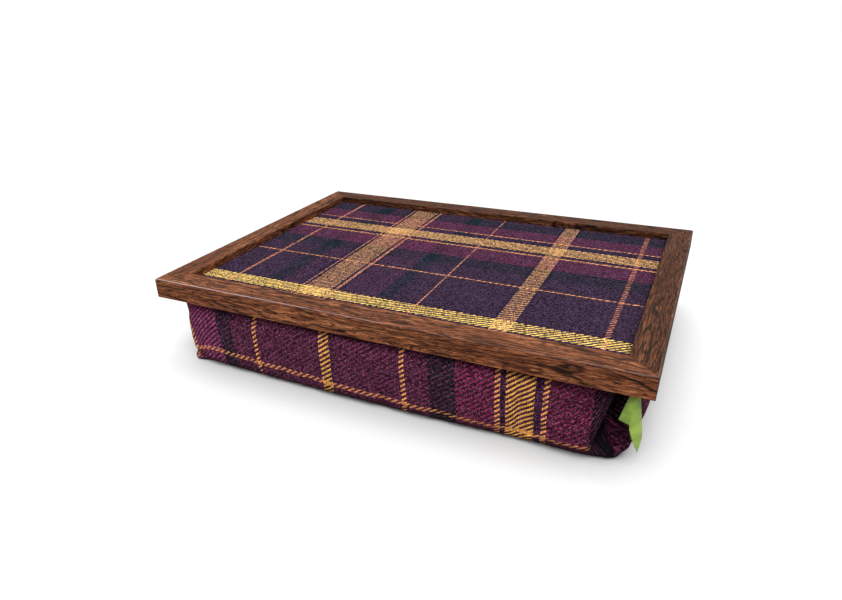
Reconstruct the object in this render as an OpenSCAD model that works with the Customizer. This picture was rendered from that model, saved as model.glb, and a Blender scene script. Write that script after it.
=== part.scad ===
// Cushioned lap tray. A mitred hardwood frame holds a tartan-covered board. It rests on a
// bead-filled tartan cushion, held there by hook-and-loop strips. A zip at the back opens the cover.
// The origin is the centre of the surface that the cushion stands on.
// +Z is up, -Y is the front and +X is to the right.

/* [Tray frame] */
// Width of the tray across its front
tray_w = 440; // [400:1:520]
// Depth of the tray from front to back
tray_d = 320; // [290:1:400]
// Width of the moulding seen from above
rail_w = 22.4; // [19:0.1:30]
// Depth from the top of the moulding down to the tartan
lip_h = 7.1; // [6:0.1:12]
// Width of the lip that laps over the boards
rebate_w = 8; // [7:0.5:10]
// Radius of the outer top edge
outer_edge_r = 2; // [0.5:0.1:3]
// Radius of the inner top edge
inner_edge_r = 0.8; // [0.2:0.1:2]

/* [Boards] */
// Thickness of the tartan bonded to the board
inlay_t = 0.8; // [0.5:0.1:1.5]
// Thickness of the board under the tartan
board_t = 5.6; // [3:0.1:8]
// Thickness of the backing board
backing_t = 5; // [3:0.5:8]
// Gap between a board's edge and the rebate
board_gap = 0.4; // [0.2:0.1:1]

/* [Fixings] */
// Length of each leg of a corner nail
nail_leg = 5; // [3:0.5:6]
// Thickness of a corner nail
nail_t = 0.8; // [0.5:0.1:1.2]
// Height of a corner nail
nail_h = 9; // [6:0.5:10]
// Distance of the first corner nail from the outer faces
nail_first = 3.6; // [3:0.1:5]
// Step from one corner nail to the next along the mitre
nail_step = 4.4; // [3:0.1:5]
// Radius of a backing screw's shank
screw_r = 1.5; // [1:0.1:2]
// Radius of a backing screw's head
screw_head_r = 2.9; // [2.2:0.1:3.2]
// Height of a backing screw's countersunk head
screw_head_h = 1.8; // [1:0.1:2.5]
// How far a backing screw reaches into the lip
screw_bite = 4.6; // [2:0.1:5.5]
// Clearance round a screw in the boards
screw_gap = 0.15; // [0.05:0.05:0.4]
// Backing screws along a long rail
long_screws = 4; // [2:1:6]
// Backing screws along a short rail
short_screws = 3; // [2:1:4]
// Distance of the outermost screws from the tray's corners
screw_end = 60; // [40:1:90]

/* [Hook and loop strips] */
// Thickness of a hook strip
hook_t = 1.2; // [0.8:0.1:2]
// Thickness of a loop strip
loop_t = 1.2; // [0.8:0.1:2]
// Width of a strip
strip_w = 25; // [16:1:40]
// Length of the front and back strips
long_strip = 280; // [120:1:300]
// Length of the side strips
short_strip = 150; // [80:1:180]
// Distance of a strip from the edge of the cushion's top
strip_in = 14; // [8:1:30]

/* [Cushion form] */
// Width of the cushion across its corners at the fullest height
cushion_w = 400; // [372:1:420]
// Depth of the cushion across its corners at the fullest height
cushion_d = 304; // [280:1:310]
// Height of the cushion
cushion_h = 63.1; // [58:0.1:90]
// How far the left and right sides belly out between the corners
side_bow = 16; // [0:0.5:18]
// How far the front bellies out between the corners
front_bow = 5.5; // [0:0.5:8]
// Radius of the cushion's corners seen from above
corner_r = 7; // [6:0.5:12]
// How far the top seam is drawn in
top_draw = 5; // [2:0.5:10]
// How far the front and back are turned in at the base
front_turn = 8; // [4:0.5:12]
// Height at which the front and back start to turn in
front_turn_h = 12; // [9:0.5:18]
// How far the left and right sides are turned in at the base
side_turn = 13; // [8:0.5:18]
// Height at which the left and right sides start to turn in
side_turn_h = 40; // [24:0.5:46]
// Height up to which the sides stay full
full_h = 47; // [47:0.5:54.5]
// How deep the fold at the front right corner is
fold_in = 16; // [8:0.5:18.5]
// How far the fold runs back along the front on its way down
fold_run = 16; // [8:0.5:19]
// How far the cushion swells out on both sides of the fold, low down
fold_swell = 6.5; // [0:0.5:7.5]

/* [Cover and filling] */
// Thickness of the tartan cloth
cloth_t = 1.2; // [0.8:0.1:2]
// Space between the cover's sides and the inner bag
bag_gap = 2; // [1.4:0.1:4]
// Thickness of the inner bag's cloth
bag_t = 0.6; // [0.4:0.1:1]
// Slack between the inner bag and what touches it
bag_slack = 0.3; // [0.2:0.1:0.6]

/* [Side label] */
// Thickness of the folded label
label_t = 0.8; // [0.6:0.1:1.2]
// Length of the label's longer leaf
label_drop = 44; // [30:1:50]
// Width of the label's longer leaf
label_w = 10; // [8:0.5:12]
// Length of the label's shorter leaf
label_short = 24; // [16:1:30]
// Distance from the corner's seam to the label's fold
label_out = 25; // [24:0.5:27]

/* [Zip] */
// Length of the row of teeth
zip_len = 300; // [200:6:312]
// Height of the zip's centre line above the ground
zip_z = 34; // [34:0.5:35]
// Width of one tape
tape_w = 12; // [10:0.5:12]
// Thickness of a tape
tape_t = 0.7; // [0.4:0.1:0.9]
// How far the tapes run on past the teeth
tape_end = 12; // [8:1:18]
// Distance from one tooth to the next in a row
tooth_pitch = 3; // [2.4:0.2:4]
// Gap between meshed teeth
tooth_gap = 0.2; // [0.1:0.05:0.3]
// How far a tooth reaches past the centre line
tooth_reach = 1.2; // [0.8:0.1:1.4]
// Half the width of the closed chain
chain_half = 3; // [2.6:0.1:3.4]
// Half the height of the slot in the cover
slot_half = 5.2; // [5:0.1:6]
// Length of the slider
slider_l = 12; // [10:0.5:16]
// Half the width of the slider at its nose
slider_half = 4.6; // [4.4:0.1:4.8]
// How much narrower each side of the slider's tail is
slider_taper = 0.6; // [0:0.1:0.8]
// Thickness of the slider's plate
slider_t = 1.2; // [0.8:0.1:1.6]
// Clearance between slider and chain
slider_gap = 0.2; // [0.1:0.05:0.3]
// Length of the pull tab
pull_l = 27; // [18:1:34]
// Width of the pull tab
pull_w = 7; // [6:0.5:9]
// Thickness of the pull tab
pull_t = 1.2; // [0.8:0.1:1.4]
// Radius of the hole near the end of the pull tab
pull_hole_r = 1.6; // [0.8:0.1:2]

/* [Hidden] */
$fn = 32;

// Small overshoot that keeps a cut from ending flush with a face
cut = 1;

// Heights of the layers, from the cushion up
rim_z = cushion_h - cloth_t;
frame_z = cushion_h + loop_t + hook_t;
board_z = frame_z + backing_t;
inlay_z = board_z + board_t;
lip_z = inlay_z + inlay_t;
rail_h = lip_z - frame_z + lip_h;
total_h = frame_z + rail_h;
boards_w = tray_w - 2 * (rail_w - rebate_w + board_gap);
boards_d = tray_d - 2 * (rail_w - rebate_w + board_gap);

// Places of the backing screws, midway across the lip
screw_x = tray_w / 2 - rail_w + rebate_w / 2;
screw_y = tray_d / 2 - rail_w + rebate_w / 2;
screw_l = lip_z - frame_z + screw_bite;
long_run = tray_w - 2 * screw_end;
short_run = tray_d - 2 * screw_end;

// Half sizes of the cushion's flat top
top_x = cushion_w / 2 - top_draw;
top_y = cushion_d / 2 - top_draw;

// Points along each side of the cushion, from the middle of one corner to the middle of the next
long_steps = 16;
short_steps = 12;
ring_n = 2 * long_steps + 2 * short_steps;
top_turn = 60;
flat_cut = 0.5;

// Near a corner the cloth is held by its seams, so less of the turning in is seen there
long_reach = 26;
short_reach = 44;
corner_share = 0.15;
fold_share = 0.85;
fold_reach = 24;

// Planes of the zip, from the cover's outer face inwards
back_y = cushion_d / 2;
tape_front = back_y - cloth_t;
chain_t = cloth_t - 0.1;
chain_front = tape_front + chain_t;
plate_back = chain_front + slider_gap;
plate_front = plate_back + slider_t;
pin_r = pull_t / 2;
pin_gap = 0.1;
pin_y = plate_front + pin_gap + pin_r;
arch_back = pin_y + pin_r + pin_gap;
arch_t = 0.7;
arch_half = 3;
arch_post = 0.8;
arch_z = 1.2;
slider_x = zip_len / 2 - slider_l / 2 - 0.5;
teeth_n = floor(zip_len / tooth_pitch);
tooth_w = tooth_pitch / 2 - tooth_gap;
stop_l = 2.4;
stop_gap = 0.3;
slot_end = stop_gap + stop_l + 2;

function sq(a) = a * a;
function ease(t) = t <= 0 ? 0 : t >= 1 ? 1 : t * t * (3 - 2 * t);

function hump(t) = abs(t) >= 1 ? 0 : sq(1 - t * t);

// How far a side is drawn in at height z: turned in at the base, and drawn in to the top seam
function turned_in(z, low, amount, height) =
    let (k = min(max(1 - (z - low) / (height - low), 0), 1)) amount * (1 - sqrt(1 - k * k));
function seam_in(z, high) =
    let (t = asin(sin(top_turn) * min(max((z - full_h) / (high - full_h), 0), 1)))
    top_draw * (1 - cos(t)) / (1 - cos(top_turn));

// The fold at the front right corner. The distance s is from the corner, less than 0 on the front
function fold_depth(s, z) =
    fold_in * ease((z - 2) / 34) * hump((s + fold_run * (1 - z / cushion_h)) / fold_reach);
function fold_lobe(s, z) =
    fold_swell * (0.35 + 0.65 * ease(z / 14)) * (1 - ease((z - 26) / 18))
    * (s < 0 ? hump((s + 20) / 55) : 0.92 * hump((s - 3) / 30));

// One side of a ring at height z: 0 is the front, 1 the right side, 2 the back, 3 the left side
function side_points(side, skin, z, low, high) =
    let (long = side % 2 == 0,
         n = long ? long_steps : short_steps,
         r = max(corner_r - skin, 0.5),
         half = (long ? cushion_w : cushion_d) / 2 - skin - r,
         out = (long ? cushion_d : cushion_w) / 2 - skin - r,
         run = half + r * PI / 4,
         bow = side == 0 ? front_bow : side == 2 ? 0 : side_bow,
         front_in = turned_in(z, low, front_turn, front_turn_h) + seam_in(z, high),
         side_in = turned_in(z, low, side_turn, side_turn_h) + seam_in(z, high),
         own_in = long ? front_in : side_in)
    [for (j = [0 : n - 1])
        let (u = sin(180 * j / n - 90),
             rest = run * (1 - abs(u)),
             turn = max(run * abs(u) - half, 0) / r * 180 / PI,
             folded = (side == 0 && u > 0) || (side == 1 && u < 0),
             s = side == 0 ? -rest : rest,
             held = hump(rest / (long ? long_reach : short_reach)),
             share = folded ? fold_share : corner_share,
             moved = (folded ? fold_lobe(s, z) : 0)
                 - own_in * (1 - held) - share * held * (front_in + side_in) / 2,
             pinch = (folded ? fold_depth(s, z) : 0) / sqrt(2),
             x = sign(u) * (min(run * abs(u), half) + (r + moved) * sin(turn)),
             y = -out - (r + moved) * cos(turn) - bow * (1 - pow(abs(u), long ? 2 : 4)),
             a = 90 * side)
        [x * cos(a) - y * sin(a) - pinch, x * sin(a) + y * cos(a) + pinch, z]];

// The cushion's outline at height z, thinned by skin, for a form from low to high
function outline(skin, z, low, high) =
    [for (side = [0 : 3]) each side_points(side, skin, z, low, high)];

// Rings of a skin from its base to its top
function skin_rings(skin, low, high) = concat(
    [for (k = [0, 0.15, 0.45]) outline(skin, low + k * (front_turn_h - low), low, high)],
    [for (k = [0, 0.25, 0.5, 0.78]) outline(skin, front_turn_h + k * (full_h - front_turn_h), low, high)],
    [for (k = [0, 0.55, 1]) outline(skin, full_h + k * (high - full_h), low, high)]);
function upside_down(list) = [for (i = [len(list) - 1 : -1 : 0]) list[i]];

// A closed skin over a stack of rings, from one centre point to another
module lofted(rings, start, finish) {
    last = len(rings) * ring_n;
    polyhedron(
        points = concat([start], [for (r = rings) for (p = r) p], [finish]),
        faces = concat(
            [for (i = [0 : ring_n - 1]) [0, 1 + i, 1 + (i + 1) % ring_n]],
            [for (k = [0 : len(rings) - 2]) for (i = [0 : ring_n - 1])
                let (p = 1 + k * ring_n + i, q = 1 + k * ring_n + (i + 1) % ring_n)
                [p, q + ring_n, q]],
            [for (k = [0 : len(rings) - 2]) for (i = [0 : ring_n - 1])
                let (p = 1 + k * ring_n + i, q = 1 + k * ring_n + (i + 1) % ring_n)
                [p, p + ring_n, q + ring_n]],
            [for (i = [0 : ring_n - 1])
                [last - ring_n + 1 + i, last + 1, last - ring_n + 1 + (i + 1) % ring_n]]));
}
module closed_form(skin, low, high)
    lofted(skin_rings(skin, low, high), [0, 0, low], [0, 0, high]);

// Moulding profile: outer face on the left, lip at the top right over the rebate
module corner_round(r) {
    difference() {
        translate([-cut, 0]) square([r + cut, r + cut]);
        translate([r, 0]) circle(r);
    }
}
module moulding_profile() {
    difference() {
        square([rail_w, rail_h]);
        translate([rail_w - rebate_w, -cut]) square([rebate_w + cut, lip_z - frame_z + cut]);
        translate([0, rail_h - outer_edge_r]) corner_round(outer_edge_r);
        translate([rail_w, rail_h - inner_edge_r]) mirror([1, 0]) corner_round(inner_edge_r);
    }
}

// A rail along X with its outer face at y = 0, mitred at both ends
module mitred_rail(length) {
    intersection() {
        translate([-length / 2, 0, 0]) rotate([90, 0, 90])
            linear_extrude(length) moulding_profile();
        translate([0, 0, -cut]) linear_extrude(rail_h + 2 * cut)
            polygon([[-length / 2, 0], [length / 2, 0],
                     [length / 2 - rail_w, rail_w], [rail_w - length / 2, rail_w]]);
    }
}
module rail_at(turn, out, length) {
    difference() {
        rotate(turn) translate([0, -out, frame_z]) mitred_rail(length);
        nails_at_corners();
        at_screws() cylinder(r = screw_r, h = screw_l + cut);
    }
}

// V-shaped nail with one leg in each rail of a mitre
module v_nail() {
    linear_extrude(nail_h)
        polygon([[0, 0], [nail_leg, 0], [nail_leg, nail_t], [nail_t, nail_t],
                 [nail_t, nail_leg], [0, nail_leg]]);
}
module nails_at_corners() {
    for (sx = [0, 1], sy = [0, 1], k = [0, 1])
        mirror([sx, 0, 0]) mirror([0, sy, 0])
            translate([nail_first + k * nail_step - tray_w / 2,
                       nail_first + k * nail_step - tray_d / 2, frame_z]) v_nail();
}

// Screws round the backing board, heads down
module at_screws() {
    for (side = [-1, 1], k = [0 : long_screws - 1])
        translate([long_run * (k / (long_screws - 1) - 0.5), side * screw_y, frame_z]) children();
    for (side = [-1, 1], k = [0 : short_screws - 1])
        translate([side * screw_x, short_run * (k / (short_screws - 1) - 0.5), frame_z]) children();
}
module backing_screw() {
    difference() {
        rotate_extrude()
            polygon([[0, 0], [screw_head_r, 0], [screw_head_r, 0.3], [screw_r, screw_head_h],
                     [screw_r, screw_l - 2 * screw_r], [0, screw_l]]);
        for (t = [0, 90])
            rotate(t) translate([-0.6 * screw_head_r, -0.35, -cut])
                cube([1.2 * screw_head_r, 0.7, cut + 0.7 * screw_head_h]);
    }
}
module board(z, thickness) {
    difference() {
        translate([-boards_w / 2, -boards_d / 2, z]) cube([boards_w, boards_d, thickness]);
        at_screws() cylinder(r = screw_r + screw_gap, h = screw_l + cut);
    }
}

// Four strips round the flat top of the cushion
module strips(z, thickness) {
    for (side = [-1, 1])
        translate([-long_strip / 2, side * (top_y - strip_in - strip_w / 2) - strip_w / 2, z])
            cube([long_strip, strip_w, thickness]);
    for (side = [-1, 1])
        translate([side * (top_x - strip_in - strip_w / 2) - strip_w / 2, -short_strip / 2, z])
            cube([strip_w, short_strip, thickness]);
}

// One tape of the zip, above or below the centre line
module tape(side) {
    low = side > 0 ? 0.3 : -0.3 - tape_w;
    translate([-zip_len / 2 - tape_end, tape_front - tape_t, zip_z + low])
        cube([zip_len + 2 * tape_end, tape_t, tape_w]);
}

// One row of teeth as a comb, its teeth set over the other row's gaps
module teeth(side) {
    shift = side > 0 ? 0 : tooth_pitch / 2;
    start = -zip_len / 2;
    spine = tooth_reach + tooth_gap;
    count = side > 0 ? teeth_n : teeth_n - 1;
    translate([0, chain_front, zip_z]) rotate([90, 0, 0]) linear_extrude(chain_t)
        scale([1, side]) polygon(concat(
            [[start, chain_half], [start, spine]],
            [for (k = [0 : count - 1]) let (x = start + shift + k * tooth_pitch + tooth_gap / 2)
                each [[x, spine], [x + 0.15, -tooth_reach],
                      [x + tooth_w - 0.15, -tooth_reach], [x + tooth_w, spine]]],
            [[start + zip_len, spine], [start + zip_len, chain_half]]));
}
module stop(x, low, high) {
    translate([x, tape_front, zip_z + low]) cube([stop_l, chain_t, high - low]);
}

module front_rail() color("#4a2a1a") rail_at(0, tray_d / 2, tray_w);
module back_rail() color("#4a2a1a") rail_at(180, tray_d / 2, tray_w);
module left_rail() color("#50301d") rail_at(-90, tray_w / 2, tray_d);
module right_rail() color("#50301d") rail_at(90, tray_w / 2, tray_d);
module corner_nails() color("#8a8d90") nails_at_corners();

module tartan_inlay() color("#3a2030") board(inlay_z, inlay_t);
module panel_board() color("#a98a62") board(board_z, board_t);
module backing_board() {
    color("#6b4a30") difference() {
        board(frame_z, backing_t);
        at_screws() translate([0, 0, 0.3])
            cylinder(r1 = screw_head_r + screw_gap, r2 = screw_r + screw_gap, h = screw_head_h - 0.3);
        at_screws() translate([0, 0, -cut])
            cylinder(r = screw_head_r + screw_gap, h = 0.3 + cut);
    }
}
module backing_screws() color("#b9a468") at_screws() backing_screw();
module hook_strips() color("#1b1b1d") strips(cushion_h + loop_t, hook_t);
module loop_strips() color("#242427") strips(cushion_h, loop_t);

module cushion_top_panel() {
    color("#2a1824") translate([0, 0, rim_z]) linear_extrude(cloth_t)
        polygon([for (p = outline(0, rim_z, -flat_cut, rim_z)) [p[0], p[1]]]);
}

// The cover is one skin: up the outside, over the rim and down the inside
module cushion_cover() {
    color("#4b1c36") difference() {
        lofted(concat(skin_rings(0, -flat_cut, rim_z),
                      upside_down(skin_rings(cloth_t, cloth_t, rim_z))),
               [0, 0, -flat_cut], [0, 0, cloth_t]);
        translate([-cushion_w, -cushion_d, -2 * flat_cut - cut])
            cube([2 * cushion_w, 2 * cushion_d, 2 * flat_cut + cut]);
        translate([-zip_len / 2 - slot_end, tape_front - cut, zip_z - slot_half])
            cube([zip_len + 2 * slot_end, cloth_t + 2 * cut, 2 * slot_half]);
    }
}
module inner_bag() {
    color("#d9d4c8") difference() {
        closed_form(cloth_t + bag_gap, cloth_t, rim_z - bag_slack);
        closed_form(cloth_t + bag_gap + bag_t, cloth_t + bag_t, rim_z - bag_slack - bag_t);
    }
}
module bead_fill() {
    color("#f2f2ee")
        closed_form(cloth_t + bag_gap + bag_t + bag_slack, cloth_t + bag_t + bag_slack,
                    rim_z - 2 * bag_slack - bag_t);
}

// Folded tab sewn into the top seam at the front right corner
module side_label() {
    root = outline(0, rim_z, -flat_cut, rim_z)[long_steps];
    lean = 40;
    opening = 70;
    root_h = cloth_t - 0.1;
    color("#a6c03a") translate([root[0] + 0.4, root[1] - 0.4, cushion_h]) rotate(-lean) {
        rotate([90, 0, 0]) linear_extrude(label_t)
            polygon([[0, 0], [label_out, 0], [label_out, -label_short],
                     [label_out - 6, 2 - label_short], [0.4 * label_out, -root_h], [0, -root_h]]);
        translate([label_out, 0, -label_short]) cylinder(r = label_t, h = label_short);
        translate([label_out, 0, 0]) rotate(opening) rotate([90, 0, 0]) linear_extrude(label_t)
            polygon([[0, 0], [0.4 * label_w, 0], [label_w, -0.4 * label_drop],
                     [label_w, -0.7 * label_drop], [0.6 * label_w, -label_drop],
                     [0, -label_short]]);
    }
}

module zip_upper_tape() color("#33202b") tape(1);
module zip_lower_tape() color("#33202b") tape(-1);
module zip_upper_teeth() color("#3f2836") teeth(1);
module zip_lower_teeth() color("#3f2836") teeth(-1);
module zip_top_stops() {
    x = zip_len / 2 + stop_gap;
    color("#9a9da1") {
        stop(x, 0.4, chain_half);
        stop(x, -chain_half, -0.4);
    }
}
module zip_bottom_stop() color("#9a9da1") stop(-zip_len / 2 - stop_gap - stop_l, -chain_half, chain_half);

// The slider's outer plate, its two flanges and the arch that holds the pull
module zip_slider() {
    half_l = slider_l / 2;
    tail_half = slider_half - slider_taper;
    flange_back = tape_front + 0.3;
    color("#a8abb0") translate([slider_x, 0, zip_z]) {
        difference() {
            translate([0, plate_front, 0]) rotate([90, 0, 0])
                linear_extrude(plate_front - flange_back)
                polygon([[-half_l, -tail_half + 1], [1 - half_l, -tail_half],
                         [half_l - 2, -slider_half], [half_l, 2 - slider_half],
                         [half_l, slider_half - 2], [half_l - 2, slider_half],
                         [1 - half_l, tail_half], [-half_l, tail_half - 1]]);
            translate([-half_l - cut, flange_back - cut, -chain_half - slider_gap])
                cube([slider_l + 2 * cut, plate_back - flange_back + cut,
                      2 * (chain_half + slider_gap)]);
        }
        translate([0, 0, -arch_z]) linear_extrude(2 * arch_z) difference() {
            translate([-arch_half, plate_front - 0.2])
                square([2 * arch_half, arch_back + arch_t - plate_front + 0.2]);
            translate([arch_post - arch_half, plate_front])
                square([2 * (arch_half - arch_post), arch_back - plate_front]);
        }
    }
}

// Pull tab: a pin under the arch, two arms beside it and a tab with a hole
module zip_pull() {
    eye_half = arch_z + 0.3;
    eye_end = arch_half + 1.6;
    arm_half = eye_half + 1.4;
    color("#b4b7bc") translate([slider_x, pin_y, zip_z]) {
        translate([0, 0, -arm_half]) cylinder(r = pin_r, h = 2 * arm_half);
        translate([0, pin_r, 0]) rotate([90, 0, 0]) linear_extrude(pull_t) difference() {
            union() {
                translate([-eye_end - 1, -arm_half]) square([eye_end + 1, 2 * arm_half]);
                translate([-pull_l + pull_w / 2, -pull_w / 2])
                    square([pull_l - pull_w / 2 - eye_end, pull_w]);
                translate([-pull_l + pull_w / 2, 0]) circle(pull_w / 2);
            }
            translate([-eye_end, -eye_half]) square([eye_end + cut, 2 * eye_half]);
            translate([-pull_l + pull_w / 2, 0]) circle(pull_hole_r);
        }
    }
}

front_rail();
back_rail();
left_rail();
right_rail();
corner_nails();
tartan_inlay();
panel_board();
backing_board();
backing_screws();
hook_strips();
loop_strips();
cushion_top_panel();
cushion_cover();
inner_bag();
bead_fill();
side_label();
zip_upper_tape();
zip_lower_tape();
zip_upper_teeth();
zip_lower_teeth();
zip_top_stops();
zip_bottom_stop();
zip_slider();
zip_pull();
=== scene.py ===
"""Cushioned lap tray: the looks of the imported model, for Blender 4.5. All lengths are in metres."""
import contextlib
import math
import random

import bmesh
import bpy
import numpy as np
from mathutils import Matrix, Vector


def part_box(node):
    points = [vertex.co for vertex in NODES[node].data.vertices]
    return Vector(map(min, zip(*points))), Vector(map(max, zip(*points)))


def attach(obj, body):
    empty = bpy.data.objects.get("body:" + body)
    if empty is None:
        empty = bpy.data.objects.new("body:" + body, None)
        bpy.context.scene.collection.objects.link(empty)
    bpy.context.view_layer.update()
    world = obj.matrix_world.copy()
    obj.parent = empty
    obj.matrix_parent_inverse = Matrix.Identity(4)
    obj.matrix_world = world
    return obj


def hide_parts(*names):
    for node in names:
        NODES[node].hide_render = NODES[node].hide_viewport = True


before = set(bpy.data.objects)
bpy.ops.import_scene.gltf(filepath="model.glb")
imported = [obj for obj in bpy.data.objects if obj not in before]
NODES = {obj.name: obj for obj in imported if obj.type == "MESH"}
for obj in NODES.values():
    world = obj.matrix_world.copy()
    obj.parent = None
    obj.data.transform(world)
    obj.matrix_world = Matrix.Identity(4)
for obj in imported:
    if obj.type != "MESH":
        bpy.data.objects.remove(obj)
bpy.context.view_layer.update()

MM = 0.001

# Driving sizes, read from the frame
FRONT_LOW, FRONT_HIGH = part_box("front_rail")
LEFT_LOW, LEFT_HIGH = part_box("left_rail")
TRAY_W = FRONT_HIGH[0] - FRONT_LOW[0]
TRAY_D = LEFT_HIGH[1] - LEFT_LOW[1]
TOP_Z = FRONT_HIGH[2]
FRAME_Z = FRONT_LOW[2]
INLAY_LOW, INLAY_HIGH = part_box("tartan_inlay")
RIM_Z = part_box("cushion_cover")[1][2]
CUSHION_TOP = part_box("cushion_top_panel")[1][2]

# The cushion's form, as the source of the solids has it
CUSHION_W = 400 * MM
CUSHION_D = 304 * MM
SIDE_BOW = 16 * MM
FRONT_BOW = 5.5 * MM
CORNER_R = 7 * MM
TOP_DRAW = 5 * MM
FRONT_TURN = 8 * MM
FRONT_TURN_H = 12 * MM
SIDE_TURN = 13 * MM
SIDE_TURN_H = 40 * MM
FULL_H = 47 * MM
LONG_REACH = 26 * MM
SHORT_REACH = 44 * MM
CORNER_SHARE = 0.15
FOLD_SHARE = 0.85
FOLD_IN = 16 * MM
FOLD_RUN = 16 * MM
FOLD_REACH = 24 * MM
FOLD_SWELL = 6.5 * MM
FOLD_SHIFT = 2.5 * MM
FOLD_STEEP = 6 * MM
FOLD_HOLLOW = 15 * MM
FOLD_DRAW = 40 * MM
# Middle of the painted shade in the fold at the front right corner, in millimetres
FOLD_SHADE_SPOT = (198, -147, 20)
CLOTH_T = 1.2 * MM
BAG_SKIN = 3.4 * MM
BEAD_SKIN = 4.4 * MM

# The zip's slot in the back of the cover
ZIP_Z = 34 * MM
SLOT_HALF = 5.2 * MM
SLOT_END = 154.7 * MM
BACK_Y = CUSHION_D / 2


# Helpers for node materials

def srgb(r, g, b):
    """A colour given as 0 to 255 steps on a screen, as linear values."""
    def linear(c):
        c = c / 255
        return c / 12.92 if c <= 0.04045 else ((c + 0.055) / 1.055) ** 2.4
    return (linear(r), linear(g), linear(b), 1.0)


def joins(operation, turned=False):
    def joined(self, other):
        return self.graph.math(operation, *((other, self) if turned else (self, other)))
    return joined


class Value:
    """An output of a node, which can be written in sums with numbers and other outputs."""

    def __init__(self, graph, socket):
        self.graph = graph
        self.socket = socket

    def __abs__(self):
        return self.graph.math("ABSOLUTE", self)

    __add__ = joins("ADD")
    __radd__ = joins("ADD", turned=True)
    __sub__ = joins("SUBTRACT")
    __rsub__ = joins("SUBTRACT", turned=True)
    __mul__ = joins("MULTIPLY")
    __rmul__ = joins("MULTIPLY", turned=True)
    __truediv__ = joins("DIVIDE")
    __mod__ = joins("FLOORED_MODULO")
    __lt__ = joins("LESS_THAN")
    __gt__ = joins("GREATER_THAN")


class Graph:
    """A material's node tree, with short calls for the nodes used here."""

    def __init__(self, name, roughness, sheen=0.0, metallic=0.0, specular=0.5):
        self.material = bpy.data.materials.new(name)
        self.material.use_nodes = True
        self.tree = self.material.node_tree
        self.shader = self.tree.nodes["Principled BSDF"]
        self.feed("Roughness", roughness)
        self.feed("Sheen Weight", sheen)
        self.feed("Metallic", metallic)
        self.feed("Specular IOR Level", specular)

    def feed(self, socket, value):
        self.put(self.shader.inputs[socket], value)

    def put(self, socket, value):
        if isinstance(value, Value):
            self.tree.links.new(value.socket, socket)
        else:
            socket.default_value = value

    def get(self, kind, inputs, output=0, **settings):
        """Adds a node and returns one of its outputs."""
        made = self.tree.nodes.new(kind)
        for key, value in settings.items():
            setattr(made, key, value)
        for key, value in inputs.items():
            self.put(made.inputs[key], value)
        return Value(self, made.outputs[output])

    def math(self, operation, *terms):
        return self.get("ShaderNodeMath", dict(enumerate(terms)), operation=operation)

    def floor(self, value):
        return self.math("FLOOR", value)

    def fract(self, value):
        return self.math("FRACT", value)

    def pingpong(self, value, scale):
        return self.math("PINGPONG", value, scale)

    def distance(self, *offsets):
        squares = [offset * offset for offset in offsets]
        return self.math("SQRT", sum(squares[1:], squares[0]))

    def vector(self, x, y, z):
        return self.get("ShaderNodeCombineXYZ", {0: x, 1: y, 2: z})

    def coordinates(self, kind):
        vector = self.get("ShaderNodeTexCoord", {}, kind)
        return [self.get("ShaderNodeSeparateXYZ", {0: vector}, k) for k in range(3)]

    def place(self):
        """The point in the shared frame: every piece's own object sits at the origin."""
        return self.coordinates("Object")

    def uv(self):
        return self.coordinates("UV")

    def noise(self, vector, scale=1.0, detail=2.0, roughness=0.5, distortion=0.0):
        return self.get("ShaderNodeTexNoise", {
            "Vector": vector, "Scale": scale, "Detail": detail,
            "Roughness": roughness, "Distortion": distortion}, "Fac")

    def dice(self, x, y, z):
        """A random value for each whole-numbered place."""
        return self.get("ShaderNodeTexWhiteNoise", {"Vector": self.vector(x, y, z)}, "Value")

    def ramp(self, factor, stops, interpolation="LINEAR", output="Color"):
        made = self.get("ShaderNodeValToRGB", {0: factor}, output)
        color_ramp = made.socket.node.color_ramp
        color_ramp.interpolation = interpolation
        while len(color_ramp.elements) < len(stops):
            color_ramp.elements.new(1.0)
        for element, (place, colour) in zip(color_ramp.elements, stops):
            element.position = place
            element.color = colour
        return made

    def blend(self, factor, a, b, mode="MIX"):
        return self.get("ShaderNodeMix", {0: factor, 6: a, 7: b}, 2, data_type="RGBA",
                        blend_type=mode)

    def lit(self, colour, level):
        """A colour made darker or lighter by a level."""
        return self.blend(1.0, colour, self.vector(level, level, level), "MULTIPLY")

    def remap(self, value, low, high, to_low=0.0, to_high=1.0):
        return self.get("ShaderNodeMapRange", {
            "Value": value, "From Min": low, "From Max": high,
            "To Min": to_low, "To Max": to_high})

    def openness(self, distance, samples=8):
        """1 where the surface lies open, towards 0 deep in a fold or under an overhang."""
        return self.get("ShaderNodeAmbientOcclusion", {"Distance": distance}, "AO", samples=samples)

    def surface(self, colour, height=None, relief=0.0):
        """Connects the colour and the relief of a height, and returns the material."""
        self.feed("Base Color", colour)
        if height is not None:
            self.feed("Normal", self.get("ShaderNodeBump", {
                "Height": height, "Distance": relief, "Strength": 1.0}))
        return self.material


def dimmed(colour, share):
    """A colour with a share of its light."""
    return tuple(share * c for c in colour[:3]) + (1.0,)


# Tartan twill

# Marks, as its alpha, a yarn that floats further over the others
FLOATS = 0.0


def palette(**colours):
    """Colours by name, given in screen steps, with FLOATS as a fourth value where a yarn floats."""
    return {name: srgb(*steps[:3])[:3] + (steps[3] if steps[3:] else 1.0,)
            for name, steps in colours.items()}


def stripes(**places):
    """Stripes in their order, given as the runs in millimetres that each colour takes."""
    return sorted((begin, end, name) for name, runs in places.items() for begin, end in runs)


# The near-black warp stripe from 180 to 203 mm is navy cloth painted darker, as painted shade in the
# fold at the front right corner
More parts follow.
